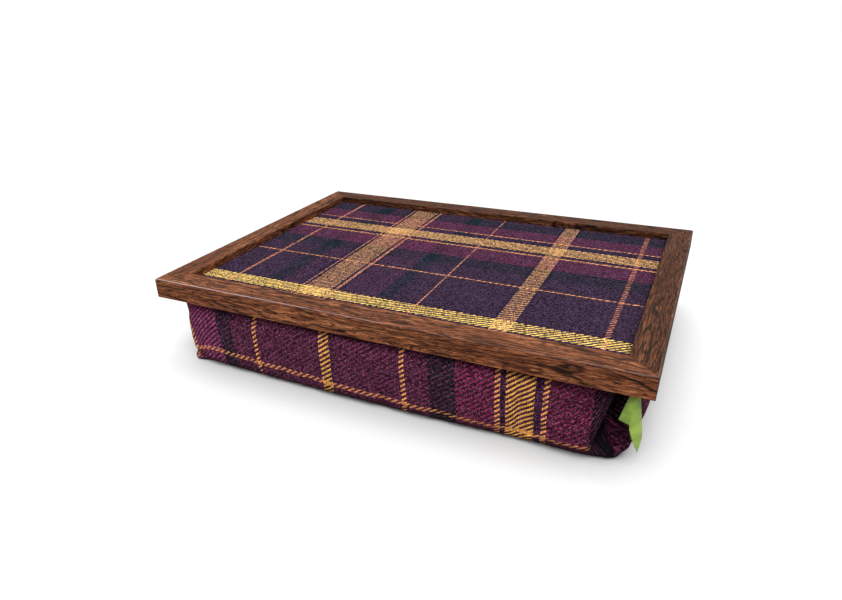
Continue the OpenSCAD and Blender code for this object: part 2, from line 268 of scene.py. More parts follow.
COVER_PALETTE = palette(
    deep=(106, 45, 76), wine=(137, 47, 84), navy=(26, 30, 44), plum=(119, 39, 70),
    dusk=(80, 28, 50), ink=(18, 14, 24), rose=(160, 66, 116), guard=(62, 30, 66),
    gold=(255, 186, 90), amber=(255, 172, 100))
COVER_WEFT_PALETTE = palette(
    deep=(80, 36, 58), wine=(98, 36, 60), navy=(26, 26, 38), guard=(44, 22, 44),
    gold=(255, 176, 80), amber=(255, 170, 96))
PANEL_PALETTE = palette(
    deep=(60, 40, 62), wine=(74, 40, 66), navy=(18, 36, 46), guard=(34, 24, 56),
    gold=(196, 143, 98), rust=(184, 116, 92), amber=(200, 130, 94, FLOATS))
PANEL_WEFT_PALETTE = palette(
    deep=(54, 38, 58), wine=(104, 40, 68), navy=(8, 34, 42), guard=(34, 24, 56),
    gold=(255, 214, 112), straw=(230, 178, 106), amber=(218, 146, 96, FLOATS))

# Warp stripes lie by their distance to the right of the middle, weft stripes by that to the back
COVER_WARP = stripes(
    wine=[(-260, -239), (72, 104.4)], amber=[(-239, -236.1), (-198.9, -196.4), (-119, -115.9),
    (24.6, 29), (104.4, 108.8), (142.1, 146.5), (231.4, 234.3)], guard=[(-236.1, -230),
    (-206, -200), (-52.4, -51), (-39, -37.6), (108.8, 114), (137, 142.1)], gold=[(-230, -206),
    (-51, -39), (114, 137)], rose=[(-196.4, -161.5)], navy=[(-161.5, -143.5), (51, 72)],
    plum=[(146.5, 180), (203, 231.4)], ink=[(180, 203)], dusk=[(234.3, 260)])
COVER_WEFT = stripes(
    amber=[(-163.8, -160.6), (-84, -81.6), (-45.2, -42.8), (34, 36.4), (184, 186.4)],
    navy=[(-136, -116), (-11, 9)], wine=[(-116, -84), (-42.8, -11)], gold=[(-75.5, -51.5),
    (103, 117)])
PANEL_WARP = stripes(
    amber=[(-169, -165.6), (-97.4, -95), (-63.2, -61), (17.4, 20)], navy=[(-137, -119),
    (-22, -6)], wine=[(-119, -102), (-58, -22)], guard=[(-101, -97.8), (-94.6, -92.6),
    (-65.6, -63.6), (-60.6, -58), (86.4, 88), (105, 106.6)], gold=[(-92.6, -65.6), (88, 105)],
    rust=[(174.8, 179.3)])
PANEL_WEFT = stripes(
    guard=[(-127, -123.4), (-107, -104.5), (42.6, 49), (70.4, 81.6)], gold=[(-123.4, -107)],
    amber=[(-39.8, -37.4), (40.2, 42.6), (82, 84.4)], navy=[(-12, 11), (110, 131)],
    wine=[(11, 40), (84.8, 110)], straw=[(49.3, 70.4)])


def stripe_stops(runs, reach, colours):
    """Ramp stops for stripes over a deep ground that reaches as far to both sides."""
    stops = [(-reach, colours["deep"])]
    for begin, end, name in runs:
        if stops[-1][0] >= begin - 0.01:
            stops.pop()
        stops += [(begin, colours[name]), (end, colours["deep"])]
    return [((place + reach) / (2 * reach), colour) for place, colour in stops]


WARP_PITCH = 1.45 * MM
WEFT_PITCH = 1.05 * MM


def twill(g, u, v, warp, weft, lean, relief, weft_level, valley, even, speck, speck_share,
          dark_share, depth, deepest, shaded=1.0):
    """A two-over-two twill of coloured yarns over u and v. Warp and weft are each (stripes, reach,
    palette), and lean is 1 or -1 for the way the twill lines run. weft_level is how high the weft
    lies, and so how much painted shade it takes; valley is the painted shade left between yarns, and
    even how uneven pale yarns are. Specks of stray fibre are pale or dark. Painted shade darkens the
    cloth to deepest in folds of some depth, and by the factor shaded."""
    yarn_u = g.floor(u / WARP_PITCH)
    yarn_v = g.floor(v / WEFT_PITCH)

    def striped(yarn, pitch, runs, reach, colours):
        place = g.remap((yarn + 0.5) * (pitch / MM), -reach, reach)
        stops = stripe_stops(runs, reach, colours)
        return [g.ramp(place, stops, "CONSTANT", output) for output in ("Color", "Alpha")]

    warp_colour, warp_bound = striped(yarn_u, WARP_PITCH, *warp)
    weft_colour, weft_bound = striped(yarn_v, WEFT_PITCH, *weft)
    # Each yarn goes over two of every four that it crosses, and one that floats over three
    shown = 2.0 + (weft_bound - warp_bound)
    step = (u / WARP_PITCH + v / (lean * WEFT_PITCH)) % 4.0
    warp_over = step < shown

    def crown(across, along):
        side = (across - 0.5) * 2.0
        end = (along - 0.5) * 2.0
        return 1.0 - side * side * 0.4 - end * end * 0.4

    warp_height = crown(g.fract(u / WARP_PITCH), step / shown)
    weft_height = crown(g.fract(v / WEFT_PITCH), (step - shown) / (4.0 - shown)) * weft_level
    height = weft_height + warp_over * (warp_height - weft_height)
    colour = g.blend(warp_over, weft_colour, warp_colour)

    fibre = g.noise(g.vector(u * 1400.0, v * 1400.0, 0.0), 1.0, 3.0, 0.7)
    patchy = g.noise(g.vector(u * 22.0, v * 22.0, 5.0))
    yarn_tone = g.dice(yarn_u * warp_over, yarn_v * (1.0 - warp_over), warp_over)
    cell_tone = g.dice(yarn_u, yarn_v, 3.0)
    # Pale yarns are spun more evenly than dark ones
    red = g.get("ShaderNodeSeparateColor", {0: colour})
    uneven = 0.8 * g.remap(red, 0.2, 0.7, 1.0, even)
    flecks = g.remap(fibre, 0.3, 0.7, -1.0, 1.0) + g.remap(cell_tone, 0, 1, -1.0, 1.0)
    drift = g.remap(yarn_tone, 0, 1, -0.14, 0.14) + g.remap(patchy, 0.3, 0.7, -0.06, 0.06)
    # Painted shade and light: the colour darkens between yarns, down to valley, and lightens on their
    # crowns
    level = (1.0 + (flecks * uneven + drift)) * g.remap(height, 0.1, 1.0, valley, 1.15)
    colour = g.lit(colour, level)
    stray = g.dice(g.floor(u * 1200.0), g.floor(v * 1200.0), 7.0)
    dark = (stray < 0.16) * dark_share * g.remap(red, 0.1, 0.6, 1.0, 0.25)
    colour = g.blend(dark, colour, srgb(22, 16, 26))
    pale = (stray > 0.88) * speck_share * g.remap(red, 0.01, 0.06, 0.4, 1.0)
    colour = g.blend(pale, colour, speck)
    # Painted shade: the colour darkens where ambient occlusion finds deep folds, creases and overhangs
    open_share = g.remap(g.openness(depth), 0.13, 0.66, deepest, 1.0)
    return g.surface(g.lit(colour, open_share * shaded), height + fibre * 0.4, relief)


def cover_tartan():
    g = Graph("cover_tartan", roughness=0.95, sheen=0.02, specular=0.05)
    u, v, _ = g.uv()
    # Painted shade: the cloth drawn into the fold at the front right corner is darkened round a spot
    apart = g.distance(*(axis - spot * MM for axis, spot in zip(g.place(), FOLD_SHADE_SPOT)))
    return twill(g, u, v, (COVER_WARP, 262.0, COVER_PALETTE), (COVER_WEFT, 262.0, COVER_WEFT_PALETTE),
                 lean=1, relief=0.8 * MM, weft_level=0.85, valley=0.13, even=0.45,
                 speck=srgb(168, 108, 140), speck_share=0.42, dark_share=0.6,
                 depth=35 * MM, deepest=0.1, shaded=g.remap(apart, 8 * MM, 30 * MM, 0.42, 1.0))


def panel_tartan():
    g = Graph("panel_tartan", roughness=0.95, sheen=0.02, specular=0.05)
    x, y, _ = g.place()
    return twill(g, x, y, (PANEL_WARP, 220.0, PANEL_PALETTE), (PANEL_WEFT, 160.0, PANEL_WEFT_PALETTE),
                 lean=-1, relief=0.3 * MM, weft_level=1.0, valley=0.2, even=1.0,
                 speck=srgb(122, 100, 142), speck_share=0.4, dark_share=0.85,
                 depth=12 * MM, deepest=0.5)


# Wood

def dark_wood(name, along, seed, shade):
    """Dark brown figured hardwood with its grain along X (0) or Y (1), darkened by a painted shade
    factor.
    """
    g = Graph(name, roughness=0.5, specular=0.13)
    x, y, height = g.place()
    length, across = (y, x) if along else (x, y)

    def stretched(scale_long, scale_across, offset, detail=2.0, roughness=0.5, warp=0.0):
        point = g.vector(length * scale_long, across * scale_across,
                         height * scale_across + (seed + offset))
        return g.noise(point, 1.0, detail, roughness, warp)

    # Growth lines run along the rail and bend round a few long eyes
    bend = stretched(8.0, 42.0, 0.0, 1.0)
    sway = stretched(45.0, 130.0, 1.0, 1.0)
    figure = (across + height) * 170.0 + bend * 10.0 + sway * 0.9
    phase = g.fract(figure)
    broken = stretched(40.0, 300.0, 3.0)
    line = g.remap(abs(phase - 0.5), 0.02, 0.145, 1.0, 0.0) * g.remap(broken, 0.36, 0.5, 0.6, 1.0)
    off_thin = abs(g.fract(figure * 2.7) - 0.5)
    thin = g.remap(off_thin, 0.02, 0.2, 1.0, 0.0) * g.remap(broken, 0.42, 0.56)
    tone = stretched(9.0, 60.0, 7.0, 3.0, 0.6)
    streak = stretched(60.0, 1000.0, 11.0, 3.0, 0.75, 0.3)
    grain = stretched(36.0, 640.0, 13.0, 3.0, 0.7, 0.5)
    pore = g.remap(stretched(110.0, 900.0, 17.0, 2.0, 0.6), 0.38, 0.46, 1.0, 0.0)
    colour = g.ramp(tone * 0.3 + streak * 0.7 + phase * 0.06,
                    [(0.4, srgb(84, 43, 26)), (0.49, srgb(122, 70, 43)),
                     (0.57, srgb(156, 95, 61)), (0.68, srgb(208, 142, 98))])
    for share, dark in ((g.remap(grain, 0.52, 0.6, 0.0, 0.7), srgb(46, 21, 13)),
                        (thin * 0.75, srgb(40, 18, 11)), (line * 0.9, srgb(18, 8, 5)),
                        (pore * 0.85, srgb(22, 10, 8))):
        colour = g.blend(share, colour, dark)
    # Painted shade: the whole rail is darkened by a factor, so the rails are lit and shaded copies of
    # one wood
    colour = g.blend(1.0, colour, (shade, shade * 0.97, shade * 0.94, 1.0), "MULTIPLY")
    # Painted sheen: the flat top is a little greyer than the sides, as if it reflected the light
    colour = g.blend((height > TOP_Z - 0.3 * MM) * 0.04, colour, srgb(150, 116, 100))
    # A thin dark line where two rails meet
    mitre = abs(abs(x) - abs(y) - (TRAY_W - TRAY_D) / 2)
    colour = g.blend(g.remap(mitre, 0.1 * MM, 0.4 * MM, 0.8, 0.0), colour, srgb(20, 10, 8))
    # Painted highlight: a pale glint along the rounded outer top edge, stronger towards the left. A
    # thin, broken orange-brown line runs along the lower edge
    inward = (TRAY_W if along else TRAY_D) / 2 - abs(across)
    top_gap = abs(inward - 0.7 * MM) + abs(height - (TOP_Z - 0.6 * MM))
    edge_glint = g.remap(top_gap, 0.1 * MM, 1.0 * MM, 1.0, 0.0) * g.remap(tone, 0.36, 0.56, 0.2, 1.0)
    paler = g.remap(x, -120 * MM, 40 * MM, 0.9, 0.2)
    colour = g.blend(edge_glint * paler, colour, srgb(186, 164, 164))
    low_gap = g.math("MAXIMUM", inward - 0.2 * MM, 0.0) + abs(height - (FRAME_Z + 0.5 * MM))
    low_edge_line = g.remap(low_gap, 0.1 * MM, 0.8 * MM, 1.0, 0.0) * g.remap(broken, 0.4, 0.6)
    colour = g.blend(low_edge_line * 0.55, colour, srgb(176, 108, 64))
    g.feed("Roughness", g.remap(streak, 0.3, 0.7, 0.46, 0.62))
    return g.surface(colour, streak * 0.5 - (pore + line * 0.5), 0.1 * MM)


# Other materials

def plain_weave(name, colour, pitch, relief=0.3 * MM):
    """A fine one-over-one weave in one colour, with uneven yarns."""
    g = Graph(name, roughness=0.9, sheen=0.1, specular=0.2)
    x, y, z = g.place()
    y = y + z
    yarn_x = g.floor(x / pitch)
    yarn_y = g.floor(y / pitch)
    over = (yarn_x + yarn_y) % 2.0
    height = 1.0 - (abs(g.fract(x / pitch) - 0.5) * 1.1 + abs(g.fract(y / pitch) - 0.5) * 0.7)
    tone = g.dice(yarn_x * over, yarn_y * (1.0 - over), over)
    # Painted shade: the yarns darken where they dip under others and lighten on their crowns, over
    # their uneven tone
    level = g.remap(tone, 0, 1, 0.75, 1.2) * g.remap(height, 0, 1, 0.5, 1.1)
    return g.surface(g.lit(colour, level), height, relief)


def board_material(name, light, dark, scale):
    """Pressed fibre board with a fine mottle."""
    g = Graph(name, roughness=0.75, specular=0.25)
    point = g.vector(*g.place())
    fleck = g.noise(point, scale * 9)
    mixture = g.noise(point, scale, 6.0, 0.7) * 0.7 + fleck * 0.3
    g.feed("Roughness", g.remap(fleck, 0.3, 0.7, 0.65, 0.85))
    return g.surface(g.ramp(mixture, [(0.35, dark), (0.65, light)]), fleck, 0.08 * MM)


def metal_material(name, colour, roughness):
    """Worn metal with fine scratches."""
    g = Graph(name, roughness=roughness, metallic=1.0)
    x, y, z = g.place()
    scratches = g.noise(g.vector(x * 900.0, y * 900.0, z * 10800.0), 1.0, 3.0, 0.6)
    tarnish = g.noise(g.vector(x, y, z), 240.0, 3.0, 0.6)
    g.feed("Roughness", g.remap(scratches, 0.3, 0.7, roughness - 0.1, roughness + 0.15))
    return g.surface(g.ramp(tarnish, [(0.3, dimmed(colour, 0.55)), (0.6, colour)]),
                     scratches, 0.03 * MM)


def hook_material():
    """Moulded tape with rows of stiff hooks."""
    g = Graph("hook_tape", roughness=0.5)
    x, y, _ = g.place()
    pitch = 1.5 * MM
    reach = g.distance(g.fract(x / pitch) - 0.5, g.fract(y / pitch) - 0.5)
    hook = g.remap(reach, 0.18, 0.34, 1.0, 0.0)
    # Painted light: the raised hooks are lighter than the tape between them
    return g.surface(g.blend(hook, srgb(22, 22, 24), srgb(58, 58, 62)), hook, 0.6 * MM)


def loop_material():
    """Brushed tape of tangled loops."""
    g = Graph("loop_tape", roughness=0.95, sheen=0.3, specular=0.1)
    point = g.vector(*g.place())
    tangle = g.noise(point, 1600.0, 4.0, 0.75, 2.0)
    mixture = tangle * 0.75 + g.noise(point, 90.0) * 0.25
    return g.surface(g.ramp(mixture, [(0.35, srgb(16, 16, 18)), (0.7, srgb(62, 60, 64))]),
                     tangle, 0.6 * MM)


def bead_material():
    """Loose expanded beads packed together."""
    g = Graph("beads", roughness=0.7, specular=0.3)
    cells = {"Vector": g.vector(*g.place()), "Scale": 300.0}
    near = g.get("ShaderNodeTexVoronoi", cells, "Distance")
    # Painted shade: each bead is white at its middle and greys towards the gaps between beads
    return g.surface(g.ramp(near, [(0.2, srgb(246, 246, 242)), (0.75, srgb(176, 176, 170))]),
                     near * -1.0, 1.2 * MM)


def teeth_material():
    g = Graph("zip_teeth", roughness=0.35)
    grain = g.noise(g.vector(*g.place()), 1500.0)
    g.feed("Roughness", g.remap(grain, 0.3, 0.7, 0.3, 0.45))
    return g.surface(g.ramp(grain, [(0.3, srgb(44, 24, 38)), (0.7, srgb(66, 38, 56))]))


def tape_material():
    """Zip tape: fine herringbone ribs along its length."""
    g = Graph("zip_tape", roughness=0.85, sheen=0.1, specular=0.2)
    x, _, z = g.place()
    lean = g.pingpong(z * 650.0, 1.0) - 0.5
    weave = g.fract(x * 900.0 + lean)
    height = g.pingpong(g.fract(z * 650.0), 0.5) * g.pingpong(weave, 0.5)
    # Painted shade: the tape darkens in the low parts between its ribs
    return g.surface(g.ramp(height, [(0.0, srgb(26, 14, 22)), (0.2, srgb(62, 36, 52))]),
                     height, 0.3 * MM)


def label_material():
    """Bare lime-green woven ribbon."""
    g = Graph("label_ribbon", roughness=0.55, sheen=0.2, specular=0.3)
    u, v, _ = g.uv()
    rib = g.pingpong(v * 2200.0, 0.5)
    warp = g.pingpong(u * 2600.0, 0.5)
    soft = g.noise(g.vector(u, v, 0.0), 160.0, 3.0)
    base = g.ramp(soft, [(0.3, srgb(126, 156, 56)), (0.7, srgb(160, 190, 78))])
    # Painted shade: the ribbon darkens between its ribs and yarns and lightens on their crowns
    return g.surface(g.lit(base, 0.82 + (rib + warp) * 0.3), rib + warp * 0.5, 0.12 * MM)


def thread_material(name, colour):
    """Twisted sewing thread."""
    g = Graph(name, roughness=0.7, sheen=0.2, specular=0.3)
    x, y, z = g.place()
    twist = g.pingpong((x + y + z) * 2400.0, 0.5)
    # Painted shade: the thread darkens in the grooves of its twist
    return g.surface(g.blend(twist, dimmed(colour, 0.6), colour), twist, 0.1 * MM)


def floor_material():
    """A pale floor that the camera sees lifted to white, apart from the cushion's shadow and a painted
    contact shadow.
    """
    g = Graph("pale_floor", roughness=0.9, specular=0.0)
    g.feed("Base Color", (0.37, 0.37, 0.37, 1))
    g.feed("Emission Color", (1, 1, 1, 1))
    # Painted shadow: the lift fades out where ambient occlusion finds the cushion close, as a contact
    # shadow where it touches the floor
    lift = g.remap(g.openness(70 * MM, samples=16), 0.25, 0.86, 0.05, 0.61)
    g.feed("Emission Strength", g.get("ShaderNodeLightPath", {}, "Is Camera Ray") * lift)
    return g.material


# Materials by the node they are for, and a few that are shared
MATERIALS = {
    # Painted shade: the back and right rails are darkened to 0.46 and the left one to 0.9
    "front_rail": dark_wood("dark_wood_front", 0, 2.0, 1.0),
    "back_rail": dark_wood("dark_wood_back", 0, 5.0, 0.46),
    "left_rail": dark_wood("dark_wood_left", 1, 9.0, 0.9),
    "right_rail": dark_wood("dark_wood_right", 1, 14.0, 0.46),
    "cushion_cover": cover_tartan(),
    "tartan_inlay": panel_tartan(),
    "cushion_top_panel": plain_weave("lining_weave", srgb(48, 30, 42), 0.8 * MM),
    "inner_bag": plain_weave("bag_cotton", srgb(214, 206, 188), 0.6 * MM, 0.2 * MM),
    "panel_board": board_material("fibreboard", srgb(178, 148, 108), srgb(146, 116, 80), 160.0),
    "backing_board": board_material("hardboard", srgb(112, 78, 52), srgb(82, 54, 34), 220.0),
    "corner_nails": metal_material("nail_steel", srgb(150, 152, 156), 0.4),
    "backing_screws": metal_material("screw_brass", srgb(196, 168, 96), 0.38),
    "zip_metal": metal_material("zip_metal", srgb(158, 160, 166), 0.32),
    "hook_strips": hook_material(),
    "loop_strips": loop_material(),
    "bead_fill": bead_material(),
    "teeth": teeth_material(),
    "tape": tape_material(),
    "side_label": label_material(),
    "thread": thread_material("seam_thread", srgb(96, 58, 84)),
    "dark_thread": thread_material("dark_thread", srgb(38, 34, 40)),
}

SHARED = {"zip_upper_tape": "tape", "zip_lower_tape": "tape", "zip_upper_teeth": "teeth",
          "zip_lower_teeth": "teeth", "zip_top_stops": "zip_metal",
          "zip_bottom_stop": "zip_metal", "zip_slider": "zip_metal", "zip_pull": "zip_metal"}


def dress_nodes():
    for name, node in NODES.items():
        node.data.materials.clear()
        node.data.materials.append(MATERIALS[SHARED.get(name, name)])


# Meshes

def new_piece(name, points, faces, material, uvs=None):
    """A mesh object from points and faces; uvs holds one pair for each corner of each face."""
    mesh = bpy.data.meshes.new(name)
    mesh.from_pydata([tuple(p) for p in points], [], [tuple(f) for f in faces])
    if uvs is not None:
        layer = mesh.uv_layers.new(name="UVMap")
        layer.data.foreach_set("uv", np.asarray(uvs, dtype=float).ravel())
    mesh.materials.append(MATERIALS[material])
    mesh.shade_smooth()
    return added(bpy.data.objects.new(name, mesh))


def added(thing):
    bpy.context.scene.collection.objects.link(thing)
    return thing


def ease(t):
    t = np.clip(t, 0.0, 1.0)
    return t * t * (3 - 2 * t)


def past(place, start, length):
    """Grows from 0 to 1 over a length past a start, both in millimetres."""
    return ease((place - start * MM) / (length * MM))


def hump(t):
    return np.maximum(0.0, 1.0 - t * t) ** 2


def between(a, b, share):
    return (1 - share) * a + share * b


def lengths(points):
    """How far along a line of points each of them lies."""
    return np.concatenate([[0], np.cumsum(np.linalg.norm(np.diff(points, axis=0), axis=1))])


# The cushion's form. Side 0 is the front, 1 the right side, 2 the back and 3 the left side, and u
# runs from -1 to 1 along a side, from the middle of one corner to the middle of the next.

def turned_in(z, low, amount, height):
    """How far a side is turned in at height z above the base at low."""
    k = np.clip(1 - (z - low) / (height - low), 0, 1)
    return amount * (1 - np.sqrt(1 - k * k))


def seam_in(z, high):
    """How far a side is drawn in towards the top seam."""
    top_turn = math.radians(60)
    t = np.arcsin(math.sin(top_turn) * np.clip((z - FULL_H) / (high - FULL_H), 0, 1))
    return TOP_DRAW * (1 - np.cos(t)) / (1 - math.cos(top_turn))


def fold_depth(s, z):
    """Depth of the fold at the front right corner; s is the distance from the corner. The front
    runs on flat up to the fold and overhangs it, and the right side slopes into it."""
    off = s + FOLD_RUN * (1 - z / CUSHION_TOP) - FOLD_SHIFT
    deep = FOLD_IN * hump(off / np.where(off < 0, FOLD_STEEP, FOLD_REACH))
    hollow = FOLD_HOLLOW * hump(off / np.where(off < 0, FOLD_STEEP, 0.55 * FOLD_REACH))
    grown = past(z, 1, 22) * (1 - 0.9 * past(z, 53, 9))
    return deep * grown + hollow * past(z, 5, 14) * (1 - past(z, 50, 10))


def fold_lobe(s, z):
    """How far the cloth swells out on both sides of the fold."""
    rise = (0.35 + 0.65 * past(z, 0, 14)) * (1 - past(z, 25, 15))
    spread = np.where(s < 0, hump((s + 20 * MM) / (55 * MM)), 0.92 * hump((s - 3 * MM) / (30 * MM)))
    return FOLD_SWELL * rise * spread


def side_point(side, u, z, skin, low, high):
    """Points of the form on one side, thinned by skin; u and z are arrays of the same shape."""
    long = side % 2 == 0
    r = max(CORNER_R - skin, 0.5 * MM)
    half = (CUSHION_W if long else CUSHION_D) / 2 - skin - r
    out = (CUSHION_D if long else CUSHION_W) / 2 - skin - r
    run = half + r * math.pi / 4
    bow = (FRONT_BOW, SIDE_BOW, 0.0, SIDE_BOW)[side]
    seam = seam_in(z, high)
    front_in = turned_in(z, low, FRONT_TURN, FRONT_TURN_H) + seam
    side_in = turned_in(z, low, SIDE_TURN, SIDE_TURN_H) + seam
    own_in = front_in if long else side_in
    rest = run * (1 - np.abs(u))
    turn = np.maximum(run * np.abs(u) - half, 0) / r
    folded = u > 0 if side == 0 else (u < 0 if side == 1 else np.zeros(u.shape, bool))
    s = -rest if side == 0 else rest
    held = hump(rest / (LONG_REACH if long else SHORT_REACH))
    share = np.where(folded, FOLD_SHARE, CORNER_SHARE)
    moved = np.where(folded, fold_lobe(s, z), 0) - own_in * (1 - held)
    moved = moved - share * held * (front_in + side_in) / 2
    pinch = np.where(folded, fold_depth(s, z), 0) / math.sqrt(2)
    x = np.sign(u) * (np.minimum(run * np.abs(u), half) + (r + moved) * np.sin(turn))
    y = -out - (r + moved) * np.cos(turn) - bow * (1 - np.abs(u) ** (2 if long else 4))
    a = math.radians(90 * side)
    return np.stack([x * math.cos(a) - y * math.sin(a) - pinch,
                     x * math.sin(a) + y * math.cos(a) + pinch, z], axis=-1)


def section_heights(steps, low, high):
    """Heights spaced evenly along the front's section, and the length of cloth up to each."""
    z = np.concatenate([low + (FRONT_TURN_H - low) * (1 - np.cos(np.linspace(0, math.pi / 2, 200))),
                        np.linspace(FRONT_TURN_H, high, 300)[1:]])
    draw = turned_in(z, low, FRONT_TURN, FRONT_TURN_H) + seam_in(z, high)
    length = np.concatenate([[0], np.cumsum(np.hypot(np.diff(z), np.diff(draw)))])
    even = np.linspace(0, length[-1], steps + 1)
    return np.interp(even, length, z), even


def side_steps(side, steps_x, steps_y):
    """Places along a side, closer together near its corners."""
    t = np.linspace(-1, 1, (steps_y if side % 2 else steps_x) + 1)
    return t * (1.0 + 0.34 * (1 - t * t))


# Height of the orange line over the front, by place along it, in millimetres
LINE_PLACES = [-199, -188, -176, -166, -118, 0, 118, 181, 188, 199]
LINE_HEIGHTS = [12.0, 15.5, 19.5, 20.2, 18.1, 14.1, 10.1, 11.8, 24.0, 75.0]


def cloth_place(side, u, z, length):
    """Cloth coordinates of points on a side: the cover's sides and base are cut in one."""
    long = side % 2 == 0
    run = (CUSHION_W if long else CUSHION_D) / 2 - CORNER_R + CORNER_R * math.pi / 4
    out = (CUSHION_D if long else CUSHION_W) / 2 - (FRONT_TURN if long else SIDE_TURN)
    along = run * u
    down = out + length
    a = math.radians(90 * side)
    across = along * math.cos(a) + down * math.sin(a)
    back = along * math.sin(a) - down * math.cos(a)
    if side == 0:
        # The cloth was sewn a little askew, so its lines lean and rise along the front
        far_left = past(-along, 110, 40)
        lean = (4.5 + 5 * far_left) * MM * (1 - z / (60 * MM)) - 2 * MM * far_left
        lean = lean * (1 - past(along, 60, 90))
        rise = (np.interp(along / MM, LINE_PLACES, LINE_HEIGHTS) - 14.1) * MM
        fade = past(length, 0, 20)
        across = across - lean * fade
        back = back + rise * fade
    if side == 1:
        # Near the fold the cloth is drawn up into it
        across = across - FOLD_DRAW * past(-along, 114, 24)
    return np.stack([across, back], axis=-1)


def spanned(front, right, back, left):
    """A grid of points spanned between four edges that meet at their ends."""
    a = np.linspace(0, 1, len(front))[None, :, None]
    b = np.linspace(0, 1, len(right))[:, None, None]
    flat = (1 - b) * front[None] + b * back[None] + (1 - a) * left[:, None] + a * right[:, None]
    return flat - ((1 - a) * (1 - b) * front[0] + a * (1 - b) * front[-1]
                   + (1 - a) * b * back[0] + a * b * back[-1])


def level_grid(steps_x, steps_y, z, skin, low, high):
    """A grid that fills the form's outline at height z."""
    edges = []
    for side in range(4):
        u = side_steps(side, steps_x, steps_y)
        edges.append(side_point(side, u, np.full(u.shape, z), skin, low, high))
    return spanned(edges[0], edges[1], edges[2][::-1], edges[3][::-1])


def add_patch(points, faces, grid, flip=False, uvs=None, cloth=None):
    """Adds a grid of points as quads; cloth holds a pair of coordinates for each point."""
    start = len(points)
    rows, columns = grid.shape[:2]
    points.extend(grid.reshape(-1, 3))
    for r in range(rows - 1):
        for c in range(columns - 1):
            quad = [(r, c), (r, c + 1), (r + 1, c + 1), (r + 1, c)]
            if flip:
                quad.reverse()
            faces.append([start + i * columns + j for i, j in quad])
            if uvs is not None:
                uvs.extend(cloth[i, j] for i, j in quad)


NX, NY, NH = 140, 96, 28


def form_mesh(skin, steps_x, steps_y, steps_h, low=0.0, high=RIM_Z, closed=False, unfold=False):
    """The form as a mesh of four sides and a base, and a top where it is closed."""
    z, length = section_heights(steps_h, low, high)
    points, faces = [], []
    uvs = [] if unfold else None
    for side in range(4):
        u = side_steps(side, steps_x, steps_y)
        u_grid, z_grid = np.meshgrid(u, z)
        grid = side_point(side, u_grid, z_grid, skin, low, high)
        cloth = cloth_place(side, u_grid, z_grid, length[:, None] + 0 * u_grid) if unfold else None
        add_patch(points, faces, grid, False, uvs, cloth)
    base = level_grid(steps_x, steps_y, low, skin, low, high)
    add_patch(points, faces, base, True, uvs, base[:, :, :2] if unfold else None)
    if closed:
        add_patch(points, faces, level_grid(steps_x, steps_y, high, skin, low, high), False)
    return points, faces, uvs


@contextlib.contextmanager
def editing(piece):
    work = bmesh.new()
    work.from_mesh(piece.data)
    yield work
    work.to_mesh(piece.data)
    work.free()


def weld(piece, distance=0.05 * MM):
    """Joins the patches of a piece at their shared edges."""
    with editing(piece) as work:
        bmesh.ops.remove_doubles(work, verts=work.verts, dist=distance)


def vertex_array(piece):
    points = np.zeros(len(piece.data.vertices) * 3)
    piece.data.vertices.foreach_get("co", points)
    return points.reshape(-1, 3)


def set_vertices(piece, points):
    piece.data.vertices.foreach_set("co", points.ravel())
    piece.data.update()


def apply_modifiers(piece):
    depsgraph = bpy.context.evaluated_depsgraph_get()
    made = bpy.data.meshes.new_from_object(piece.evaluated_get(depsgraph),
                                           preserve_all_data_layers=True, depsgraph=depsgraph)
    piece.modifiers.clear()
    piece.data = made


def thicken(piece, thickness, offset=-1):
    """Gives a skin its thickness: inwards, or to both sides with an offset of 0."""
    solid = piece.modifiers.new("thickness", "SOLIDIFY")
    solid.thickness = thickness
    solid.offset = offset
    apply_modifiers(piece)
    piece.data.shade_smooth()


def near_zip(points):
    """How firmly the cover is held by the zip: 1 round the slot, 0 well away from it."""
    reach_x = ease((SLOT_END + 28 * MM - np.abs(points[:, 0])) / (16 * MM))
    reach_z = ease((19 * MM - np.abs(points[:, 2] - ZIP_Z)) / (6 * MM))
    return np.where(points[:, 1] > BACK_Y - 6 * MM, reach_x * reach_z, 0.0)


def near_fold(points):
    """How close points are to the fold at the front right corner."""
    return hump(np.minimum(np.hypot(points[:, 0] - 192 * MM, points[:, 1] + 148 * MM) / (46 * MM), 1))


CLOTH = {"quality": 5, "mass": 0.3, "tension_stiffness": 20, "compression_stiffness": 20,
         "shear_stiffness": 8, "bending_stiffness": 0.4, "use_pressure": True,
         "uniform_pressure_force": 4.0, "shrink_min": -0.03, "vertex_group_mass": "held"}


def puff(piece, frames=20, cap=1.8 * MM):
    """Fills the cover like a bag: cloth under pressure, held at its rim, its zip and its base."""
    start = vertex_array(piece)
    group = piece.vertex_groups.new(name="held")
    at_rim = ease((start[:, 2] - (RIM_Z - 6 * MM)) / (5 * MM))
    at_base = ease((3 * MM - start[:, 2]) / (2 * MM))
    held = np.maximum(np.maximum(at_rim, at_base), np.maximum(near_zip(start), near_fold(start)))
    for index, weight in enumerate(held):
        if weight > 0.01:
            group.add([index], float(weight), "REPLACE")
    modifier = piece.modifiers.new("puff", "CLOTH")
    modifier.settings.effector_weights.gravity = 0.0
    modifier.collision_settings.use_collision = False
    modifier.point_cache.frame_start = 1
    modifier.point_cache.frame_end = frames
    for name, value in CLOTH.items():
        setattr(modifier.settings, name, value)
    scene = bpy.context.scene
    for number in range(1, frames + 1):
        scene.frame_set(number)
    apply_modifiers(piece)
    scene.frame_set(1)
    moved = vertex_array(piece) - start
    size = np.linalg.norm(moved, axis=1, keepdims=True)
    moved *= cap * np.tanh(size / cap) / np.maximum(size, 1e-9)
    end = start + moved
    end[:, 2] = np.maximum(end[:, 2], start[:, 2].min())
    set_vertices(piece, end)
    piece.vertex_groups.clear()


